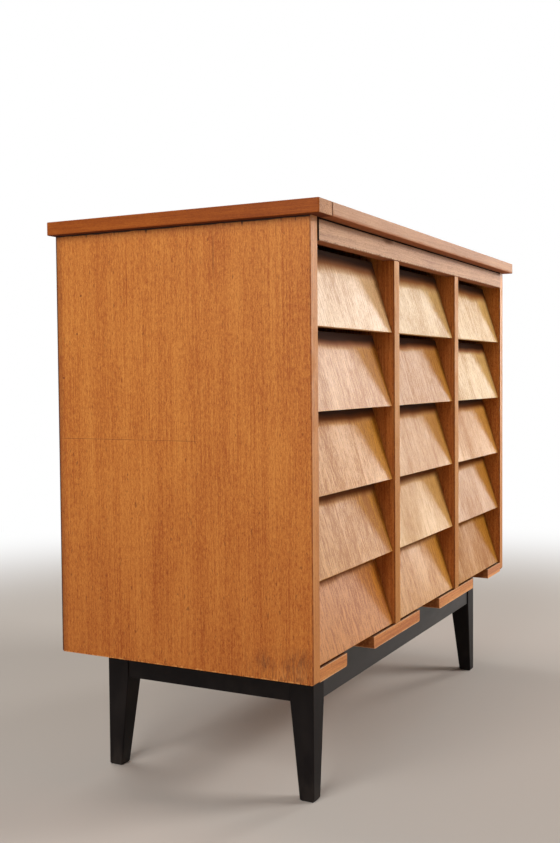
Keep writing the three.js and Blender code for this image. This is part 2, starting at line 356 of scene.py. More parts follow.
# Noises, here and below: the scale, then the detail and the roughness where they aren't the usual ones.
# The figure's are scaled across the grain, into the wood and along it, but for the stripes' last scale.
CLOUDS = ((11, 11, 6), 3.0)
BANDS = ((26, 26, 1.1), 3.0)
STRIPE_SCALE = (120, 120)
STRIPE_DETAIL = (4.0, 0.6)
STRIPE_GROUPS = ((15, 15, 1.6), 2.0)
STRIPE_GROUP_RANGE = (0.38, 0.62)
THREADS = ((270, 270, 3.5), 3.0, 0.6)
HAIRS = ((760, 760, 22), 2.0, 0.6)
FLECK_DETAIL = (2.0, 0.6)
DUST = ((900, 900, 400), 2.0, 0.6)
PORES = ((480, 480, 110), 1.0)
PORE_RANGE = (0.63, 0.74)
WANDER_SCALE = (5, 5, 3)
WANDER = 0.008
NOISE_MEAN = 0.5
DARK_TONE = 0.24
PALE_TONE = 0.76
PORE_DULLING = 0.3
DIRTY_ROUGHNESS = 0.95


@dataclass(frozen=True)
class Figure:
    """Colour, height, pore mask and tone of a wood, each a socket."""
    colour: bpy.types.NodeSocket
    height: bpy.types.NodeSocket
    pore: bpy.types.NodeSocket
    tone: bpy.types.NodeSocket


def wood_figure(graph, wood, grain, seed):
    """Figure of a wood, from noises stretched along its grain."""
    place = grain_place(graph, grain, seed)
    wander = graph.ramp(graph.noise(place, WANDER_SCALE), 0.0, 1.0, -WANDER, WANDER)
    shift = graph.node("ShaderNodeCombineXYZ", {0: wander}).outputs[0]
    bent = graph.node("ShaderNodeVectorMath", {0: place, 1: shift}, operation="ADD").outputs[0]
    threads = graph.noise(bent, *THREADS)
    stripes = graph.noise(bent, STRIPE_SCALE + (wood.stripe_count,), *STRIPE_DETAIL)
    group = graph.ramp(graph.noise(bent, *STRIPE_GROUPS), *STRIPE_GROUP_RANGE)
    grouped = graph.add_times(graph.math("SUBTRACT", stripes, NOISE_MEAN), group, NOISE_MEAN)
    layers = (
        (graph.noise(place, *CLOUDS), wood.clouds),
        (graph.noise(bent, *BANDS), wood.bands),
        (grouped, wood.stripes),
        (threads, wood.threads),
        (graph.noise(bent, *HAIRS), wood.hairs),
        (graph.noise(bent, wood.fleck_scale, *FLECK_DETAIL), wood.flecks),
        (graph.noise(place, *DUST), wood.dust),
    )
    tone = NOISE_MEAN
    for value, weight in layers:
        centred = graph.add_times(value, weight, -weight * NOISE_MEAN)
        tone = graph.math("ADD", tone, centred)
    stops = [(DARK_TONE, wood.dark), (NOISE_MEAN, wood.middle), (PALE_TONE, wood.pale)]
    pore = graph.ramp(graph.noise(bent, *PORES), *PORE_RANGE, 0.0, wood.pores)
    colour = graph.mix(pore, graph.tones(tone, stops), wood.pore)
    return Figure(colour, graph.math("SUBTRACT", threads, pore), pore, tone)


def wood_surface(graph, wood, grain, seed):
    figure = wood_figure(graph, wood, grain, seed)
    roughness = graph.add_times(figure.pore, PORE_DULLING, wood.roughness)
    return Surface(figure.colour, roughness, figure.height)


def dirt_and_shade(graph, surface, mask, colour, roughness=DIRTY_ROUGHNESS):
    """Dirt, wear and painted shade on a surface: each colours the wood and changes its gloss."""
    return replace(
        surface,
        colour=graph.mix(mask, surface.colour, colour),
        roughness=graph.ramp(mask, 0.0, 1.0, surface.roughness, roughness),
    )


def plain_wood(name, wood, grain, seed):
    graph = Graph(name)
    return graph.finish(wood_surface(graph, wood, grain, seed), wood.specular)


# Upright boards, with painted shade that makes them darker towards the foot
LOW_SHADE_HEIGHTS = (0.24, 0.62)
EDGE_LOW_SHADE_SHARE = 0.4
EDGE_PATCHES = ((60, 60, 22), 4.0, 0.6)
EDGE_PATCH_RANGE = (0.5, 0.66)
EDGE_PATCH_SHARE = 0.35
LINE_WIDTH = 0.0016
LINE_SHARE = 0.8
LINE_BREAKS = ((260, 260, 130), 2.0)
LINE_BREAK_RANGE = (0.4, 0.6)
LINE_BREAK_SHARE = 0.6


def edge_lipping(name, wood, seed):
    """Solid edge of an upright board, worn darker in patches, with painted shade darker towards the foot."""
    graph = Graph(name)
    surface = wood_surface(graph, wood, "z", seed)
    low = graph.ramp(graph.axes["Z"], *LOW_SHADE_HEIGHTS, EDGE_LOW_SHADE_SHARE, 0.0)
    patches = graph.ramp(graph.own_noise(*EDGE_PATCHES), *EDGE_PATCH_RANGE)
    worn = graph.math("MULTIPLY", patches, EDGE_PATCH_SHARE)
    surface = dirt_and_shade(graph, surface, graph.math("MAXIMUM", low, worn), wood.dark)
    return graph.finish(surface, wood.specular)


def panel_wood(name, wood, seed, marks):
    """Veneered face of an upright board, with marks and a broken dark line beside its front lipping."""
    graph = Graph(name)
    surface = wood_surface(graph, wood, "z", seed)
    colour = surface.colour
    for mark in marks:
        colour = mark(graph, colour)
    inward = graph.past("Y", front_y)
    breaks = graph.ramp(graph.own_noise(*LINE_BREAKS), *LINE_BREAK_RANGE, LINE_BREAK_SHARE)
    line = graph.math("MULTIPLY", graph.ramp(inward, LINE_WIDTH, 2 * LINE_WIDTH, LINE_SHARE, 0.0), breaks)
    return graph.finish(replace(surface, colour=graph.mix(line, colour, wood.pore)), wood.specular)


# Painted shadow under the top, with dark runs, and wear at the foot, on both side panels
# Near-black, for grime and dark joints, and for painted shade under other pieces
GRIME_AND_SHADE = tint(34, 18, 11)
SHADE_BROWN = tint(112, 58, 24)
TOP_SHADE_DEPTH = 0.02
TOP_SHADE_SHARE = 0.4
RUN_PLACES = ((75, 75, 0), 2.0)
RUN_RANGE = (0.66, 0.7)
RUN_DEPTHS = (0.004, 0.009)
RUN_SHARE = 0.85
JOINT_WAVES = ((30, 30, 0), 2.0)
JOINT_DEPTHS = (0.0018, 0.0034)
JOINT_EDGE = (0.75, 1.15)
JOINT_SHARE = 0.96
WAVE_RANGE = (0.3, 0.7)
WORN_EDGE_RISES = (0.00064, 0.00256)
WORN_EDGE_WAVES = ((150, 150, 150), 3.0)
WORN_EDGE_WAVE_RANGE = (0.35, 0.65)
WORN_EDGE_END = (0.7, 1.3)
WORN_EDGE_SHARE = 0.6
WORN_EDGE_BREAKS = (0.42, 0.6)
FOOT_CHIPS = ((330, 330, 200), 2.0)
FOOT_CHIP_RANGE = (0.58, 0.66)
FOOT_CHIP_RISES = (0.0016, 0.0048)
FOOT_CHIP_SHARE = 0.8


def painted_top_shadow(graph, colour):
    """Painted shadow under the overhanging top, darkest at the joint, with soft painted shade and a few
    short dark runs below it.
    """
    depth = graph.short_of("Z", carcass_top_z)
    colour = graph.mix(graph.ramp(depth, 0.0, TOP_SHADE_DEPTH, TOP_SHADE_SHARE, 0.0), colour, SHADE_BROWN)
    places = graph.ramp(graph.own_noise(*RUN_PLACES), *RUN_RANGE)
    run = graph.math("MULTIPLY", places, graph.ramp(depth, *RUN_DEPTHS, RUN_SHARE, 0.0))
    colour = graph.mix(run, colour, GRIME_AND_SHADE)
    width = graph.ramp(graph.own_noise(*JOINT_WAVES), *WAVE_RANGE, *JOINT_DEPTHS)
    joint = graph.ramp(graph.math("DIVIDE", depth, width), *JOINT_EDGE, JOINT_SHARE, 0.0)
    return graph.mix(joint, colour, GRIME_AND_SHADE)


def worn_foot(graph, colour):
    """The lower arris, rubbed down to paler wood, with dark chips."""
    rise = graph.past("Z", carcass_low_z)
    uneven = graph.own_noise(*WORN_EDGE_WAVES)
    width = graph.ramp(uneven, *WORN_EDGE_WAVE_RANGE, *WORN_EDGE_RISES)
    rubbed = graph.ramp(graph.math("DIVIDE", rise, width), *WORN_EDGE_END, WORN_EDGE_SHARE, 0.0)
    bare = graph.math("MULTIPLY", rubbed, graph.ramp(uneven, *WORN_EDGE_BREAKS))
    colour = graph.mix(bare, colour, EDGE_WOOD.pale)
    chips = graph.ramp(graph.own_noise(*FOOT_CHIPS), *FOOT_CHIP_RANGE)
    near = graph.ramp(rise, *FOOT_CHIP_RISES, FOOT_CHIP_SHARE, 0.0)
    return graph.mix(graph.math("MULTIPLY", chips, near), colour, SIDE_VENEER.pore)


# Marks of use on the left side. Places are given as Y and Z.
SCRATCH_Z = 0.5815
SCRATCH_ENDS = (-0.027, 0.236)
SCRATCH_END_FADE = 0.006
SCRATCH_HALF_WIDTH = 0.0008
SCRATCH_LIGHT_RISE = 0.0012
SCRATCH_WEAR = ((40, 40, 40), 3.0)
SCRATCH_WEAR_RANGE = (0.3, 0.55)
SCRATCH_WORN_SHARE = 0.35
SCRATCH_DARK_SHARE = 0.8
SCRATCH_LIGHT_SHARE = 0.35
PIN_SPOTS = ((0.2009, 0.7552), (0.2300, 0.6825), (0.1919, 0.8177))
PIN_SPOT_RADIUS = 0.0016
PIN_SPOT_SOFTNESS = 0.5
STREAK_Y = -0.063
STREAK_ENDS = (0.842, 0.899)
STREAK_END_FADE = 0.01
STREAK_HALF_WIDTH = 0.0018
STREAK_SHARE = 0.6
SMUDGES = ((-0.146, 0.246, 0.011), (-0.207, 0.250, 0.016))
SMUDGE_BROWN = tint(100, 58, 35)
SMUDGE_SHARE = 0.62
RUBS = ((-0.207, 0.233, 0.011), (-0.176, 0.229, 0.009))
RUB_SHARE = 0.6
BLOT_SOFTNESS = 0.8
BLOT_SPECKLE = ((430, 430, 100), 2.0)
BLOT_SPECKLE_RANGE = (0.38, 0.6)
SPECKS = ((210, 210, 90), 1.0)
SPECK_LIMITS = (0.695, 0.73)
SPECK_EDGE = 0.03
SPECK_SHARE = 0.5
PAINTED_LOW_SHADE = (0.71, 0.54, 0.48, 1)
PAINTED_LOW_SHADE_SHARE = 0.45
FOOT_GRIME_RISES = (0.010, 0.058)
FOOT_GRIME_REACHES = (0.05, 0.16)
FOOT_GRIME_SHARE = 0.55
FOOT_STREAKS = ((430, 430, 85), 3.0, 0.6)
FOOT_STREAK_RANGE = (0.46, 0.6)
REAR_SHADE_WIDTH = 0.014
REAR_SHADE_SHARE = 0.6
REAR_LINE_WIDTH = 0.0014
REAR_LINE_SHARE = 0.8


def spot(graph, y, z, radius, softness):
    """A round spot on the side, whose edge is soft over the given share of its radius."""
    distance = graph.math("SQRT", graph.squares(graph.past("Y", y), graph.past("Z", z)))
    return graph.ramp(distance, radius * (1 - softness), radius * (1 + softness), 1.0, 0.0)


def scratch(graph, colour):
    """A long level scratch, dark with a light upper edge and worn away in places."""
    offset = graph.past("Z", SCRATCH_Z)
    above = graph.math("SUBTRACT", offset, SCRATCH_LIGHT_RISE)
    reach = graph.between(graph.axes["Y"], *SCRATCH_ENDS, SCRATCH_END_FADE)
    worn = graph.ramp(graph.own_noise(*SCRATCH_WEAR), *SCRATCH_WEAR_RANGE, SCRATCH_WORN_SHARE)
    lines = (
        (above, SCRATCH_LIGHT_SHARE, SIDE_VENEER.pale),
        (offset, SCRATCH_DARK_SHARE, SIDE_VENEER.pore),
    )
    for distance, share, line_colour in lines:
        line = graph.ramp(graph.math("ABSOLUTE", distance), 0.0, SCRATCH_HALF_WIDTH, share, 0.0)
        line = graph.math("MULTIPLY", graph.math("MULTIPLY", line, reach), worn)
        colour = graph.mix(line, colour, line_colour)
    return colour


def pin_spots(graph, colour):
    for y, z in PIN_SPOTS:
        mask = spot(graph, y, z, PIN_SPOT_RADIUS, PIN_SPOT_SOFTNESS)
        colour = graph.mix(mask, colour, SIDE_VENEER.pore)
    return colour


def streak(graph, colour):
    """A short upright streak near the top."""
    across = graph.math("ABSOLUTE", graph.past("Y", STREAK_Y))
    line = graph.ramp(across, 0.0, STREAK_HALF_WIDTH, STREAK_SHARE, 0.0)
    line = graph.math("MULTIPLY", line, graph.between(graph.axes["Z"], *STREAK_ENDS, STREAK_END_FADE))
    return graph.mix(line, colour, SIDE_VENEER.pore)


def blots(graph, colour):
    """Dark smudges and pale rubbed places low at the front."""
    speckle = graph.ramp(graph.own_noise(*BLOT_SPECKLE), *BLOT_SPECKLE_RANGE)
    kinds = ((SMUDGES, SMUDGE_SHARE, SMUDGE_BROWN), (RUBS, RUB_SHARE, EDGE_WOOD.pale))
    for places, share, blot_colour in kinds:
        for y, z, radius in places:
            blot = graph.math("MULTIPLY", spot(graph, y, z, radius, BLOT_SOFTNESS), speckle)
            colour = graph.mix(graph.math("MULTIPLY", blot, share), colour, blot_colour)
    return colour


def specks(graph, colour):
    """Small dark specks, more of them towards the foot."""
    limit = graph.ramp(graph.axes["Z"], *LOW_SHADE_HEIGHTS, *SPECK_LIMITS)
    over = graph.math("SUBTRACT", graph.own_noise(*SPECKS), limit)
    return graph.mix(graph.ramp(over, 0.0, SPECK_EDGE, 0.0, SPECK_SHARE), colour, SIDE_VENEER.pore)


# Painted shade: the side darker towards the foot, where less light falls.
def painted_low_shade(graph, colour):
    low = graph.ramp(graph.axes["Z"], *LOW_SHADE_HEIGHTS, PAINTED_LOW_SHADE_SHARE, 0.0)
    return graph.mix(low, colour, PAINTED_LOW_SHADE, "MULTIPLY")


def foot_grime(graph, colour):
    """Dark streaks that rise from the foot, most of them towards the front."""
    low = graph.ramp(graph.past("Z", carcass_low_z), *FOOT_GRIME_RISES, 1.0, 0.0)
    forward = graph.ramp(graph.past("Y", front_y), *FOOT_GRIME_REACHES, FOOT_GRIME_SHARE, 0.0)
    streaks = graph.ramp(graph.own_noise(*FOOT_STREAKS), *FOOT_STREAK_RANGE)
    mask = graph.math("MULTIPLY", graph.math("MULTIPLY", low, forward), streaks)
    return graph.mix(mask, colour, SMUDGE_BROWN)


def rear_edge(graph, colour):
    """The rear edge, shaded, with a dark line of grime."""
    inward = graph.short_of("Y", rear_y)
    colour = graph.mix(graph.ramp(inward, 0.0, REAR_SHADE_WIDTH, REAR_SHADE_SHARE, 0.0), colour, SHADE_BROWN)
    line = graph.ramp(inward, REAR_LINE_WIDTH, 2 * REAR_LINE_WIDTH, REAR_LINE_SHARE, 0.0)
    return graph.mix(line, colour, GRIME_AND_SHADE)


OUTER_MARKS = (painted_top_shadow, worn_foot)
LEFT_MARKS = (scratch, pin_spots, streak, blots, specks, painted_low_shade, foot_grime, rear_edge)


# Top
DOWNWARD = (-0.8, -0.5)
BOARD_UNDER_SHARE = 0.85
STRIP_UNDERSIDE_SHADE = tint(96, 46, 22)
STRIP_UNDER_SHARE = 0.9
LIPPING_UNDERSIDE_SHADE = tint(146, 80, 36)
LIPPING_UNDER_SHARE = 0.85
LIPPING_LOW_BAND = tint(158, 84, 48)
LOW_BAND_RISES = (0.001, 0.005)
LOW_BAND_SHARE = 0.55
LOW_BAND_WAVES = ((24, 24, 200), 3.0, 0.6)
LOW_BAND_WAVER = 0.002
END_DOTS = ((700, 200, 700), 3.0)
END_DOT_RANGE = (0.52, 0.7)
END_DOT_SHARE = 0.7
CRACK_EDGE = (0.00224, 0.0032)
CRACK_SHARE = 0.97


def paint_shade_below(graph, surface, share, colour):
    """Painted shade on the faces that look down."""
    under = graph.ramp(graph.normals["Z"], *DOWNWARD, share, 0.0)
    return dirt_and_shade(graph, surface, under, colour)


def top_wood(name, wood, grain, under_colour, under_share, seed):
    """Wood of the top, with painted shade on its underside."""
    graph = Graph(name)
    surface = wood_surface(graph, wood, grain, seed)
    return graph.finish(paint_shade_below(graph, surface, under_share, under_colour), wood.specular)


def front_lipping(name, wood, seed):
    """Lipping along the front of the top, redder and darker towards its lower arris."""
    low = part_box("top_front_lipping")[0]
    graph = Graph(name)
    surface = wood_surface(graph, wood, "x", seed)
    waver = graph.ramp(graph.own_noise(*LOW_BAND_WAVES), *WAVE_RANGE, -LOW_BAND_WAVER, LOW_BAND_WAVER)
    rise = graph.math("ADD", graph.past("Z", low.z), waver)
    band = graph.ramp(rise, *LOW_BAND_RISES, LOW_BAND_SHARE, 0.0)
    surface = dirt_and_shade(graph, surface, band, LIPPING_LOW_BAND)
    return graph.finish(paint_shade_below(graph, surface, LIPPING_UNDER_SHARE, LIPPING_UNDERSIDE_SHADE), wood.specular)


def end_grain(name, wood, seed, joint_x):
    """Wood cut across its grain, with dots in place of threads, and the open joint beside it."""
    graph = Graph(name)
    surface = wood_surface(graph, wood, "y", seed)
    dots = graph.own_noise(*END_DOTS)
    surface = dirt_and_shade(graph, surface, graph.ramp(dots, *END_DOT_RANGE, 0.0, END_DOT_SHARE), wood.pore)
    crack = graph.ramp(graph.short_of("X", joint_x), *CRACK_EDGE, CRACK_SHARE, 0.0)
    surface = dirt_and_shade(graph, surface, crack, GRIME_AND_SHADE)
    return graph.finish(replace(surface, height=dots), wood.specular)


# Drawer fronts: each is cut from another sheet of veneer
PALE_SHARES = (1.24, 1.3, 1.4)
DARK_SHARES = (0.77, 0.62, 0.42)
PORE_SHARES = (0.6, 0.42, 0.24)
FINE_LAYERS = ("threads", "hairs", "flecks", "dust")
SHEENS = {"polished": 0.48, "satin": 0.38, "soft": 0.27, "dull": 0.17, "flat": 0.08}


def shaded(colour, shares):
    return tuple(share * value for share, value in zip(shares, colour)) + (1,)


def sheet_wood(middle):
    return Wood(
        pale=shaded(middle, PALE_SHARES),
        middle=middle,
        dark=shaded(middle, DARK_SHARES),
        pore=shaded(middle, PORE_SHARES),
        stripe_count=9,
        threads=0.7,
        hairs=0.8,
        flecks=1.2,
        fleck_scale=(300, 300, 60),
        dust=1.1,
        pores=0.4,
    )


FRONT_TONES = {
    "cream": sheet_wood(tint(205, 158, 100)),
    "straw": sheet_wood(tint(195, 152, 86)),
    "honey": sheet_wood(tint(200, 148, 76)),
    "amber": sheet_wood(tint(188, 130, 52)),
    "tan": sheet_wood(tint(188, 125, 37)),
    "brown": sheet_wood(tint(174, 115, 38)),
    "russet": sheet_wood(tint(184, 112, 30)),
}


@dataclass(frozen=True)
class Sheet:
    """Tone and sheen of one front, and the strength of its fine figure, stripes and clouds."""
    tone: str
    sheen: str
    figure: float = 1.0
    stripes: float = 0.7
    clouds: float = 0.6

    def wood(self):
        tone = FRONT_TONES[self.tone]
        fine = {layer: getattr(tone, layer) * self.figure for layer in FINE_LAYERS}
        return replace(tone, stripes=self.stripes, clouds=self.clouds, specular=SHEENS[self.sheen], **fine)


# From the top row down, and from left to right
SHEETS = (
    (
        Sheet("cream", "polished", figure=0.8, stripes=1.2),
        Sheet("straw", "soft", figure=0.7, stripes=0.4),
        Sheet("straw", "dull", figure=0.8, stripes=1.6),
    ),
    (
        Sheet("tan", "polished", stripes=1.1, clouds=0.9),
        Sheet("brown", "dull", figure=0.9),
        Sheet("straw", "dull", figure=0.9, stripes=0.8),
    ),
    (
        Sheet("tan", "soft", clouds=1.0),
        Sheet("amber", "soft", figure=0.5),
        Sheet("amber", "dull", figure=0.6, stripes=0.9),
    ),
    (
        Sheet("tan", "satin", stripes=1.3),
        Sheet("honey", "soft", figure=0.5, stripes=0.6),
        Sheet("brown", "dull", figure=0.6, stripes=1.1),
    ),
    (
        Sheet("russet", "satin", figure=1.5, stripes=0.8, clouds=0.9),
        Sheet("tan", "satin", figure=0.8),
        Sheet("brown", "flat", figure=0.8, stripes=0.8),
    ),
)
FRONT_TONE_RANGE = (0.3, 0.7)
FRONT_ROUGHNESSES = (0.53, 0.33)
# Depths from the top of a front, row by row, of the painted shade where the piece above covers it: where its
# dark band starts to fade and its brown one ends
SHADED_DEPTHS = ((0.008, 0.035), (0.010, 0.025), (0.004, 0.024), (0.0, 0.023), (-0.002, 0.020))
SHADED_BROWN = tint(128, 66, 16)
SHADED_BROWN_SHARE = 0.92
SHADED_BLACK_SHARE = 0.8
SHADED_WAVES = ((9, 9, 9), 2.0)
SHADED_WAVER = 0.003
# Where the dull band fades, from the end of the brown one
DULL_FADE = (-0.012, 0.002)
PALE_LOW_ARRIS = 0.0016
PALE_LOW_ARRIS_SHARE = 0.8
PALE_LOW_ARRIS_BREAKS = ((38, 38, 20), 3.0)


def front_veneer(name, sheet, seed, row):
    """Veneer of a front: painted shade, dark and dull, where the piece above covers it, and paler along its
    low arris.
    """
    low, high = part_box(name)
    wood = sheet.wood()
    graph = Graph(name + "_veneer")
    figure = wood_figure(graph, wood, "slope", seed)
    roughness = graph.ramp(figure.tone, *FRONT_TONE_RANGE, *FRONT_ROUGHNESSES)
    waver = graph.ramp(graph.own_noise(*SHADED_WAVES), *WAVE_RANGE, -SHADED_WAVER, SHADED_WAVER)
    depth = graph.math("ADD", graph.short_of("Z", high.z), waver)
    near, far = SHADED_DEPTHS[row - 1]
    middle = (near + far) / 2
    # Painted shade under the piece above: brown, and near-black at the very top
    brown = graph.ramp(depth, middle, far, SHADED_BROWN_SHARE, 0.0)
    colour = graph.mix(brown, figure.colour, SHADED_BROWN)
    colour = graph.mix(graph.ramp(depth, near, middle, SHADED_BLACK_SHARE, 0.0), colour, GRIME_AND_SHADE)
    roughness = graph.ramp(depth, far + DULL_FADE[0], far + DULL_FADE[1], DIRTY_ROUGHNESS, roughness)
    # Paler along the low arris, in broken places
    arris = graph.ramp(graph.past("Z", low.z), PALE_LOW_ARRIS / 2, PALE_LOW_ARRIS, PALE_LOW_ARRIS_SHARE, 0.0)
    rubbed = graph.math("MULTIPLY", arris, graph.own_noise(*PALE_LOW_ARRIS_BREAKS))
    colour = graph.mix(rubbed, colour, wood.pale)
    return graph.finish(Surface(colour, roughness, figure.height), wood.specular)


# Black lacquer of the base
LACQUER = tint(19, 15, 15)
LACQUER_DUST = tint(86, 76, 68)
LACQUER_ROUGHNESSES = (0.36, 0.46)
BRUSH_MARKS = ((420, 420, 14), 3.0)
DUST_PATCHES = ((34, 34, 14), 4.0)
DUST_PATCH_RANGE = (0.42, 0.72)
DUSTY_HEIGHT = 0.05
LOW_DUST_SHARE = 0.35
DUST_SHARE = 0.06
LEG_SPECULAR = 0.1
APRON_SPECULAR = 0.38


def black_lacquer(name, grain, seed, specular=LEG_SPECULAR):
    """Brushed black paint, with dust in patches and towards the floor."""
    graph = Graph(name)
    place = grain_place(graph, grain, seed)
    brushed = graph.noise(place, *BRUSH_MARKS)
    patches = graph.noise(place, *DUST_PATCHES)
    low = graph.ramp(graph.axes["Z"], 0.0, DUSTY_HEIGHT, LOW_DUST_SHARE, 0.0)
    share = graph.math("ADD", low, DUST_SHARE)
    dust = graph.math("MULTIPLY", graph.ramp(patches, *DUST_PATCH_RANGE), share)
    colour = graph.mix(dust, LACQUER, LACQUER_DUST)
    roughness = graph.ramp(patches, *WAVE_RANGE, *LACQUER_ROUGHNESSES)
    return graph.finish(Surface(colour, roughness, brushed), specular, FINE_BUMP_DEPTH)


# Rounded arrises. Split corners and the triangles of a flat face are joined first.
MERGE_DISTANCE = 0.00001
FLAT_ANGLE = math.radians(1)
ARRIS_ANGLE = math.radians(30)
ARRIS_SEGMENTS = 3
PANEL_ARRIS = 0.0008
FRONT_ARRIS = 0.0009
TOP_ARRIS = 0.0014
LEG_ARRIS = 0.0008
BOX_ARRIS = 0.0006
PLY_ARRIS = 0.0004
END_MARGIN = 0.0005
END_FACING = 0.9
FRONT_WAY = Vector((0, -1, 0))
REAR_WAY = Vector((0, 1, 0))
DOWN = Vector((0, 0, -1))


def soften(piece, width):
    joined = piece.modifiers.new("joined", "WELD")
    joined.merge_threshold = MERGE_DISTANCE
    flat = piece.modifiers.new("flat", "DECIMATE")
    flat.decimate_type = "DISSOLVE"
    flat.angle_limit = FLAT_ANGLE
    arris = piece.modifiers.new("arris", "BEVEL")
    arris.width = width
    arris.segments = ARRIS_SEGMENTS
    arris.limit_method = "ANGLE"
    arris.angle_limit = ARRIS_ANGLE


def dress(name, material, arris, ends=()):
    """Gives a piece its material, and other ones to the faces at the given ends."""
    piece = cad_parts[name]
    piece.data.materials.clear()
    piece.data.materials.append(material)
    for slot, (way, end_material) in enumerate(ends, 1):
        piece.data.materials.append(end_material)
        reach = max(way.dot(vertex.co) for vertex in piece.data.vertices)
        for face in piece.data.polygons:
            at_end = way.dot(face.center) > reach - END_MARGIN
            if at_end and face.normal.dot(way) > END_FACING:
                face.material_index = slot
    soften(piece, arris)


# Seeds of the figures that a loop counts up, and how far a wall's lipping is from its wall's
WALL_SEED = 1
LIPPING_SEED_SHIFT = 0.5
LEG_SEED = 12
DRAWER_SEED = 30


def dress_walls():
    core = plain_wood("wall_core", CORE_WOOD, "z", seed=24)
    walls = (
        ("side_panel_left", SIDE_VENEER, EDGE_WOOD, LEFT_MARKS + OUTER_MARKS),
        ("side_panel_right", SIDE_VENEER, EDGE_WOOD, OUTER_MARKS),
        ("divider_left", WALL_VENEER, DIVIDER_EDGE, ()),
        ("divider_right", WALL_VENEER, DIVIDER_EDGE, ()),
    )
    for seed, (name, wood, edge_wood, marks) in enumerate(walls, WALL_SEED):
        veneer = panel_wood(name + "_veneer", wood, seed, marks)
        lipping = edge_lipping(name + "_lipping", edge_wood, seed + LIPPING_SEED_SHIFT)
        dress(name, veneer, PANEL_ARRIS, ((FRONT_WAY, lipping), (REAR_WAY, core)))


# Rail under the top
RAIL_UNDERSIDE_SHADE = tint(150, 88, 44)
RAIL_UNDER_SHARE = 0.85
RAIL_CHIP = tint(88, 42, 22)
# The mark, by its places and radii along X and Z
RAIL_STAIN = (-0.2126, 0.9142)
RAIL_STAIN_RADII = (0.026, 0.006)
RAIL_STAIN_EDGE = (0.1, 1.2)
RAIL_STAIN_SHARE = 0.75
WORN_WAVES = ((160, 60, 160), 3.0, 0.6)
WORN_WAVE_RANGE = (0.42, 0.68)
WORN_RISES = (0.001, 0.0036)
WORN_END = (0.7, 1.1)
WORN_SHARE = 0.6
RAIL_SHADE_DEPTHS = (0.003, 0.009)
RAIL_SHADE_SHARE = 0.3
JOINT_BLACK = tint(14, 8, 6)
DIRT_LUMPS = ((500, 500, 500), 3.0)
DIRT_LUMP_RANGE = (0.4, 0.7)
JOINT_DIRT_ROUGHNESSES = (0.9, 1.0)
JOINT_DIRT_SPECULAR = 0.02
RAIL_STEPS = 400
RAIL_ARRIS = 0.0006
TOP_JOINT_DIRT = 0.0028
END_JOINT_DIRT = 0.005
CHIP_DEPTHS = (0.0004, 0.0021)
CHIP_COUNT = 95
CHIP_NOISE = (0.6, 2.0, 3)


def rail_wood(name, wood, seed):
    """Rail under the top: painted shade on its underside and just under the top, with a mark and a worn
    lower arris.
    """
    low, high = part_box("top_rail")
    graph = Graph(name)
    surface = wood_surface(graph, wood, "x", seed)
    offsets = [
        graph.math("DIVIDE", graph.past(axis, place), radius)
        for axis, place, radius in zip("XZ", RAIL_STAIN, RAIL_STAIN_RADII)
    ]
    mark = graph.ramp(graph.squares(*offsets), *RAIL_STAIN_EDGE, RAIL_STAIN_SHARE, 0.0)
    surface = dirt_and_shade(graph, surface, mark, wood.pore)
    reach = graph.ramp(graph.own_noise(*WORN_WAVES), *WORN_WAVE_RANGE, *WORN_RISES)
    share = graph.math("DIVIDE", graph.past("Z", low.z), reach)
    surface = dirt_and_shade(graph, surface, graph.ramp(share, *WORN_END, WORN_SHARE, 0.0), RAIL_CHIP)
    # Painted shade just under the top's overhang
    shade = graph.ramp(graph.short_of("Z", high.z), *RAIL_SHADE_DEPTHS, RAIL_SHADE_SHARE, 0.0)
    surface = dirt_and_shade(graph, surface, shade, wood.pore)
    return graph.finish(paint_shade_below(graph, surface, RAIL_UNDER_SHARE, RAIL_UNDERSIDE_SHADE), wood.specular)


def joint_dirt(name):
    """Black dirt in an open joint, with almost no gloss."""
    graph = Graph(name)
    lumps = graph.own_noise(*DIRT_LUMPS)
    colour = graph.mix(graph.ramp(lumps, *DIRT_LUMP_RANGE), JOINT_BLACK, GRIME_AND_SHADE)
    roughness = graph.ramp(lumps, *WAVE_RANGE, *JOINT_DIRT_ROUGHNESSES)
    return graph.finish(Surface(colour, roughness, lumps), JOINT_DIRT_SPECULAR)


def make_object(name, shape, materials):
    mesh = bpy.data.meshes.new(name)
    shape.to_mesh(mesh)
    shape.free()
    for material in materials:
        mesh.materials.append(material)
    made = bpy.data.objects.new(name, mesh)
    bpy.context.scene.collection.objects.link(made)
    return made


def add_piece(name, shape, materials):
    """A new piece of the carcass."""
    piece = make_object(name, shape, materials)
    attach(piece, "carcass")
    return piece


def evenly(low, high, steps):
    """Places from low to high, at equal steps."""
    return [low + (high - low) * step / steps for step in range(steps + 1)]


def rail_ring(shape, x, low, high):
    """The rail's section at one place along it, with its lower front arris chipped."""
    rough = noise.fractal(Vector((x * CHIP_COUNT, 0, 0)), *CHIP_NOISE)
    chip = CHIP_DEPTHS[0] + max(rough, 0) * (CHIP_DEPTHS[1] - CHIP_DEPTHS[0])
    corners = (
        (low.y + chip, low.z),
        (high.y, low.z),
        (high.y, high.z),
        (low.y + RAIL_ARRIS, high.z),
        (low.y, high.z - RAIL_ARRIS),
        (low.y, high.z - TOP_JOINT_DIRT),
        (low.y, low.z + chip),
    )
    return [shape.verts.new((x, y, z)) for y, z in corners]


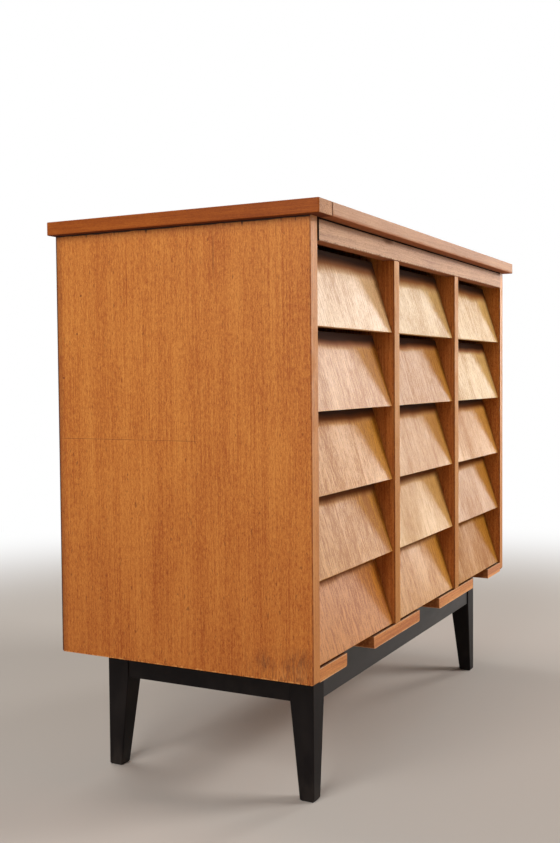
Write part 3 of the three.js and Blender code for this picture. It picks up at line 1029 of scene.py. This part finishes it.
def worn_rail(materials):
    """The rail, with dirt in its joints above and at its left end."""
    low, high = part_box("top_rail")
    shape = bmesh.new()
    rings = [rail_ring(shape, x, low, high) for x in evenly(low.x, high.x, RAIL_STEPS)]
    for ring, following in zip(rings, rings[1:]):
        for index in range(len(ring)):
            after = (index + 1) % len(ring)
            face = shape.faces.new((ring[index], ring[after], following[after], following[index]))
            middle = face.calc_center_bounds()
            above = middle.z > high.z - TOP_JOINT_DIRT
            beside = middle.x < low.x + END_JOINT_DIRT
            face.material_index = int(above or beside)
    shape.faces.new(rings[0][::-1]).material_index = 1
    shape.faces.new(rings[-1])
    bmesh.ops.recalc_face_normals(shape, faces=shape.faces)
    piece = add_piece("worn_rail", shape, materials)
    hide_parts("top_rail")


# Bottom board
NOTCH_SHADE_BROWN = tint(132, 74, 36)
NOTCH_FACING = (0.5, 0.9)
NOTCH_SHARES = (0.35, 0.9)
GAP_SHADE_BROWN = tint(60, 20, 8)
GAP_ROUGHNESS = 0.22
GAP_FACING = (0.5, 0.8)
GAP_SHARE = 0.95
BARE_ARRIS = tint(240, 204, 162)
BARE_ARRIS_WIDTH = 0.0014
BARE_ARRIS_SHARE = 0.6
BARE_ARRIS_BREAKS = (0.35, 0.55)
BARE_ARRIS_REST = 0.3
RUBBING = ((120, 120, 120), 3.0, 0.6)
RUBBING_RANGE = (0.35, 0.6)


def bottom_board_wood(name, wood, seed):
    """Bottom board, with pale rubbed arrises and painted shade, in patches, on the sides of its notches.

    Its upper face has dark painted shade and is glossy, so that it mirrors the dark undersides over it.
    """
    low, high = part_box("bottom_board")
    graph = Graph(name)
    surface = wood_surface(graph, wood, "x", seed)
    rubbed = graph.own_noise(*RUBBING)
    near = graph.math("MINIMUM", graph.past("Z", low.z), graph.short_of("Z", high.z))
    line = graph.ramp(near, BARE_ARRIS_WIDTH / 2, BARE_ARRIS_WIDTH, BARE_ARRIS_SHARE, 0.0)
    bare = graph.math("MULTIPLY", line, graph.ramp(rubbed, *BARE_ARRIS_BREAKS, BARE_ARRIS_REST))
    surface = dirt_and_shade(graph, surface, bare, BARE_ARRIS)
    above = graph.ramp(graph.normals["Z"], *GAP_FACING, 0.0, GAP_SHARE)
    surface = dirt_and_shade(graph, surface, above, GAP_SHADE_BROWN, GAP_ROUGHNESS)
    sideways = graph.ramp(graph.math("ABSOLUTE", graph.normals["X"]), *NOTCH_FACING)
    patches = graph.math("MULTIPLY", sideways, graph.ramp(rubbed, *RUBBING_RANGE, *NOTCH_SHARES))
    surface = dirt_and_shade(graph, surface, patches, NOTCH_SHADE_BROWN)
    return graph.finish(surface, wood.specular)


def dress_lower_carcass():
    bottom = bottom_board_wood("bottom_board_wood", BOTTOM_EDGE_WOOD, seed=5)
    dress("bottom_board", bottom, PANEL_ARRIS)
    back = plain_wood("back_panel_ply", PLYWOOD, "x", seed=6)
    dress("back_panel", back, PLY_ARRIS)


def dress_top():
    worn_rail([rail_wood("rail_wood", RAIL_WOOD, seed=7), joint_dirt("rail_joint_dirt")])
    board = top_wood("top_board_veneer", TOP_WOOD, "x", GRIME_AND_SHADE, BOARD_UNDER_SHARE, seed=8)
    dress("top_board", board, TOP_ARRIS)
    strip = top_wood("end_strip_wood", STRIP_WOOD, "y", STRIP_UNDERSIDE_SHADE, STRIP_UNDER_SHARE, seed=9)
    strip_end = end_grain("end_strip_end", END_GRAIN_WOOD, seed=9, joint_x=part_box("top_end_strip")[1].x)
    dress("top_end_strip", strip, TOP_ARRIS, ((FRONT_WAY, strip_end),))
    lipping = front_lipping("lipping_wood", LIPPING_WOOD, seed=10)
    dress("top_front_lipping", lipping, TOP_ARRIS)


def leg_names():
    return [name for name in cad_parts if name.startswith("leg_")]


def dress_base():
    aprons = black_lacquer("apron_lacquer", "x", seed=11)
    front = black_lacquer("apron_front_lacquer", "x", seed=10, specular=APRON_SPECULAR)
    dress("base_frame", aprons, LEG_ARRIS, ((FRONT_WAY, front),))
    for seed, name in enumerate(sorted(leg_names()), LEG_SEED):
        dress(name, black_lacquer(name + "_lacquer", "z", seed), LEG_ARRIS)


def dress_drawers():
    box_wood = plain_wood("drawer_box_wood", DRAWER_WOOD, "y", seed=20)
    bottom_ply = plain_wood("drawer_bottom_ply", PLYWOOD, "x", seed=21)
    seed = DRAWER_SEED
    for row, sheets in enumerate(SHEETS, 1):
        for column, sheet in enumerate(sheets, 1):
            drawer = f"drawer_r{row}c{column}"
            veneer = front_veneer(drawer + "_front", sheet, seed, row)
            dress(drawer + "_front", veneer, FRONT_ARRIS)
            dress(drawer + "_box", box_wood, BOX_ARRIS)
            dress(drawer + "_bottom", bottom_ply, PLY_ARRIS)
            seed += 1


# Pins of the back panel and screws of the base, as round heads
STEEL = tint(116, 108, 98)
RUST = tint(94, 52, 26)
RUST_SPOTS = ((900, 900, 900), 4.0, 0.6)
RUST_RANGE = (0.45, 0.62)
STEEL_ROUGHNESSES = (0.38, 0.85)
STEEL_SPECULAR = 0.7
HEAD_SIDES = 14
HEAD_TOP_SHARE = 0.7
PIN_RADIUS = 0.0021
PIN_HEIGHT = 0.0006
PIN_SPACING = 0.085
PIN_INSET = 0.0045
SCREW_RADIUS = 0.0042
SCREW_HEIGHT = 0.0012
SCREW_FROM_CORNER = 0.0053


def old_steel(name):
    graph = Graph(name)
    spots = graph.own_noise(*RUST_SPOTS)
    rusty = graph.ramp(spots, *RUST_RANGE)
    colour = graph.mix(rusty, STEEL, RUST)
    roughness = graph.ramp(rusty, 0.0, 1.0, *STEEL_ROUGHNESSES)
    return graph.finish(Surface(colour, roughness, spots), STEEL_SPECULAR, FINE_BUMP_DEPTH)


def add_head(shape, place, way, radius, height):
    """A low head that narrows upwards, standing on a surface at the given place."""
    turn = way.to_track_quat("Z", "Y").to_matrix().to_4x4()
    bmesh.ops.create_cone(
        shape,
        cap_ends=True,
        segments=HEAD_SIDES,
        radius1=radius,
        radius2=radius * HEAD_TOP_SHARE,
        depth=height,
        matrix=Matrix.Translation(place + way * height / 2) @ turn,
    )


def spaced(low, high, spacing):
    """Places from low to high, at about the given spacing."""
    return evenly(low, high, round((high - low) / spacing))


def add_back_pins(material):
    """Pins around the edge of the back panel and in line with the dividers."""
    low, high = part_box("back_panel")
    shape = bmesh.new()
    ends = (low.z + PIN_INSET, high.z - PIN_INSET)
    columns = [low.x + PIN_INSET, high.x - PIN_INSET]
    for divider in ("divider_left", "divider_right"):
        wall_low, wall_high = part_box(divider)
        columns.append((wall_low.x + wall_high.x) / 2)
    places = [(x, z) for x in columns for z in spaced(*ends, PIN_SPACING)]
    places += [(x, z) for z in ends for x in spaced(columns[0], columns[1], PIN_SPACING)[1:-1]]
    for x, z in places:
        add_head(shape, Vector((x, high.y, z)), REAR_WAY, PIN_RADIUS, PIN_HEIGHT)
    add_piece("back_panel_pins", shape, [material])


def add_base_screws(material):
    """One screw up through each corner block of the base."""
    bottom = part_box("base_frame")[0].z
    shape = bmesh.new()
    for leg_low, leg_high in map(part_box, leg_names()):
        side = 1 if leg_low.x > 0 else -1
        end = 1 if leg_low.y > 0 else -1
        x = (leg_low.x if side > 0 else leg_high.x) - side * SCREW_FROM_CORNER
        y = (leg_low.y if end > 0 else leg_high.y) - end * SCREW_FROM_CORNER
        add_head(shape, Vector((x, y, bottom)), DOWN, SCREW_RADIUS, SCREW_HEIGHT)
    add_piece("base_screws", shape, [material])


# Floor, which turns white away from the chest
FLOOR_PAINT = tint(196, 187, 178)
WHITE = (1, 1, 1, 1)
FLOOR_RADIUS = 14
FLOOR_SIDES = 96
FADE_START = 1.0
FADE_END = 2.9


def white_for_eyes(tree):
    """1 for rays that show a background: from the camera, and through gloss or glass."""
    path = tree.nodes.new("ShaderNodeLightPath")
    total = path.outputs["Is Camera Ray"]
    for name in ("Is Glossy Ray", "Is Transmission Ray"):
        both = tree.nodes.new("ShaderNodeMath")
        both.operation = "MAXIMUM"
        tree.links.new(total, both.inputs[0])
        tree.links.new(path.outputs[name], both.inputs[1])
        total = both.outputs[0]
    return total


def floor_material():
    graph = Graph("floor_paint")
    distance = graph.math("SQRT", graph.squares(graph.axes["X"], graph.axes["Y"]))
    fade = graph.ramp(distance, FADE_START, FADE_END)
    smooth = graph.node("ShaderNodeMapRange", {0: fade}, interpolation_type="SMOOTHERSTEP").outputs[0]
    shown = graph.math("MULTIPLY", smooth, white_for_eyes(graph.tree))
    paint = graph.node("ShaderNodeBsdfDiffuse", {0: FLOOR_PAINT})
    white = graph.node("ShaderNodeEmission", {0: WHITE, 1: 1.0})
    mixed = graph.node("ShaderNodeMixShader", {0: shown, 1: paint.outputs[0], 2: white.outputs[0]})
    graph.node("ShaderNodeOutputMaterial", {0: mixed.outputs[0]})
    return graph.material


def make_floor():
    shape = bmesh.new()
    bmesh.ops.create_circle(shape, cap_ends=True, segments=FLOOR_SIDES, radius=FLOOR_RADIUS)
    floor = make_object("floor", shape, [floor_material()])


# Light
@dataclass(frozen=True)
class Lamp:
    """A soft lamp, by what it is aimed at and where it hangs from there.

    Azimuth 0 is in front of the chest and 90 at its right. Both angles are in degrees.
    """
    aim: tuple
    azimuth: float
    elevation: float
    distance: float
    size: tuple
    power: float

    def direction(self):
        azimuth = math.radians(self.azimuth)
        elevation = math.radians(self.elevation)
        level = Vector((math.sin(azimuth), -math.cos(azimuth), 0))
        return math.cos(elevation) * level + math.sin(elevation) * Vector((0, 0, 1))


AMBIENT = 0.1
FRONT_MIDDLE = (0.0, -0.22, 0.60)
SIDE_MIDDLE = (-0.5, 0.0, 0.64)
CHEST_MIDDLE = (0.0, 0.0, 0.50)
LAMPS = {
    "window": Lamp(FRONT_MIDDLE, azimuth=72.5, elevation=15, distance=6.0, size=(1.0, 3.8), power=110),
    "key": Lamp(FRONT_MIDDLE, azimuth=31, elevation=27, distance=4.6, size=(2.0, 1.1), power=148),
    "side_fill": Lamp(SIDE_MIDDLE, azimuth=-92.5, elevation=25, distance=3.1, size=(2.0, 2.0), power=80),
    "back_fill": Lamp(CHEST_MIDDLE, azimuth=165, elevation=55, distance=4.0, size=(2.5, 2.5), power=65),
}


def make_world():
    """A white background, which gives the chest only a little light."""
    world = bpy.data.worlds.new("studio")
    bpy.context.scene.world = world
    world.use_nodes = True
    tree = world.node_tree
    tree.nodes.clear()
    strength = tree.nodes.new("ShaderNodeMapRange")
    strength.inputs["To Min"].default_value = AMBIENT
    strength.inputs["To Max"].default_value = 1.0
    tree.links.new(white_for_eyes(tree), strength.inputs["Value"])
    background = tree.nodes.new("ShaderNodeBackground")
    tree.links.new(strength.outputs[0], background.inputs["Strength"])
    background.inputs["Color"].default_value = WHITE
    output = tree.nodes.new("ShaderNodeOutputWorld")
    tree.links.new(background.outputs[0], output.inputs[0])


def make_lamps():
    for name, lamp in LAMPS.items():
        light = bpy.data.lights.new(name, "AREA")
        light.shape = "RECTANGLE"
        light.size, light.size_y = lamp.size
        light.energy = lamp.power
        place = bpy.data.objects.new(name, light)
        direction = lamp.direction()
        place.location = Vector(lamp.aim) + direction * lamp.distance
        place.rotation_mode = "QUATERNION"
        place.rotation_quaternion = direction.to_track_quat("Z", "Y")
        place.visible_camera = False
        bpy.context.scene.collection.objects.link(place)


# Camera, at the place fitted to the photograph. Yaw 0 looks along +X. Sensor and lens are in millimetres.
CAMERA_PLACE = Vector((-1.9222, -0.8983, 0.6817))
CAMERA_YAW = math.radians(27.265)
CAMERA_PITCH = math.radians(2.445)
CAMERA_ROLL = math.radians(-0.482)
CAMERA_SENSOR = 36
CAMERA_LENS = 44.86


def make_camera():
    forward = Vector((
        math.cos(CAMERA_YAW) * math.cos(CAMERA_PITCH),
        math.sin(CAMERA_YAW) * math.cos(CAMERA_PITCH),
        -math.sin(CAMERA_PITCH),
    ))
    level = Vector((math.sin(CAMERA_YAW), -math.cos(CAMERA_YAW), 0))
    upward = level.cross(forward)
    right = math.cos(CAMERA_ROLL) * level + math.sin(CAMERA_ROLL) * upward
    top = math.cos(CAMERA_ROLL) * upward - math.sin(CAMERA_ROLL) * level
    turn = Matrix((right, top, -forward)).transposed()
    camera = bpy.data.cameras.new("camera")
    camera.sensor_width = CAMERA_SENSOR
    camera.lens = CAMERA_LENS
    place = bpy.data.objects.new("camera", camera)
    place.matrix_world = Matrix.Translation(CAMERA_PLACE) @ turn.to_4x4()
    bpy.context.scene.collection.objects.link(place)
    bpy.context.scene.camera = place


make_camera()
dress_walls()
dress_lower_carcass()
dress_top()
dress_base()
dress_drawers()
steel = old_steel("old_steel")
add_back_pins(steel)
add_base_screws(steel)
make_floor()
make_world()
make_lamps()
bpy.context.scene.view_settings.view_transform = "Standard"
